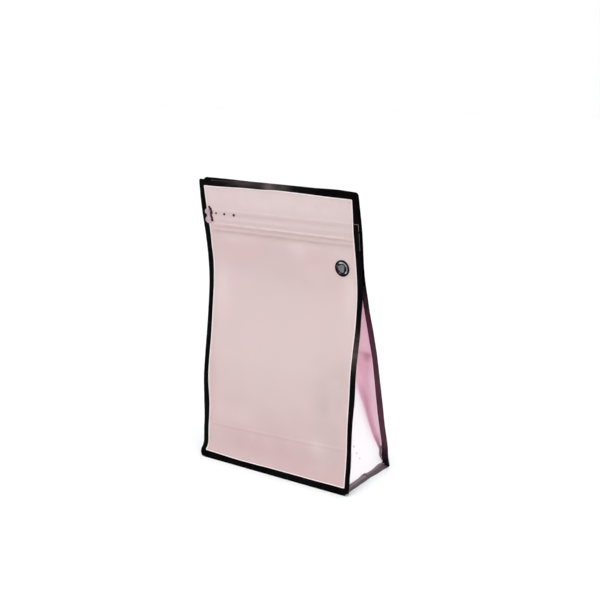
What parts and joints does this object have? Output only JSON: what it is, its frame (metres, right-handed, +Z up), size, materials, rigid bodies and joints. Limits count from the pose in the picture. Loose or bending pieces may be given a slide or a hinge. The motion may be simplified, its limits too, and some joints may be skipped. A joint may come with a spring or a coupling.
{
  "type": "stand-up pouch",
  "caption": "Shut flat-bottom stand-up pouch of matte film with dark welded margins, folded-in sides, a press-to-close zipper and a round one-way air valve.",
  "frame": {"origin": "middle of the base on the surface the pouch stands on", "axes": "+Z up along the pouch's height, +X to the right seen from the front, +Y from the front panel to the back"},
  "size_m": [0.14, 0.0654, 0.2245],
  "materials": {
    "film": "matte pink laminate film",
    "welded_margin": "black heat-welded film with a soft gloss",
    "valve_rim": "glossy black moulded plastic",
    "valve_cap": "satin grey moulded plastic"
  },
  "bodies": {
    "root": {"film_body": "film", "top_margin": "welded_margin", "front_left_margin": "welded_margin", "front_right_margin": "welded_margin", "front_bottom_margin": "welded_margin", "back_left_margin": "welded_margin", "back_right_margin": "welded_margin", "back_bottom_margin": "welded_margin", "left_bottom_margin": "welded_margin", "right_bottom_margin": "welded_margin", "valve_rim": "valve_rim", "valve_cap": "valve_cap"}
  },
  "joints": []
}
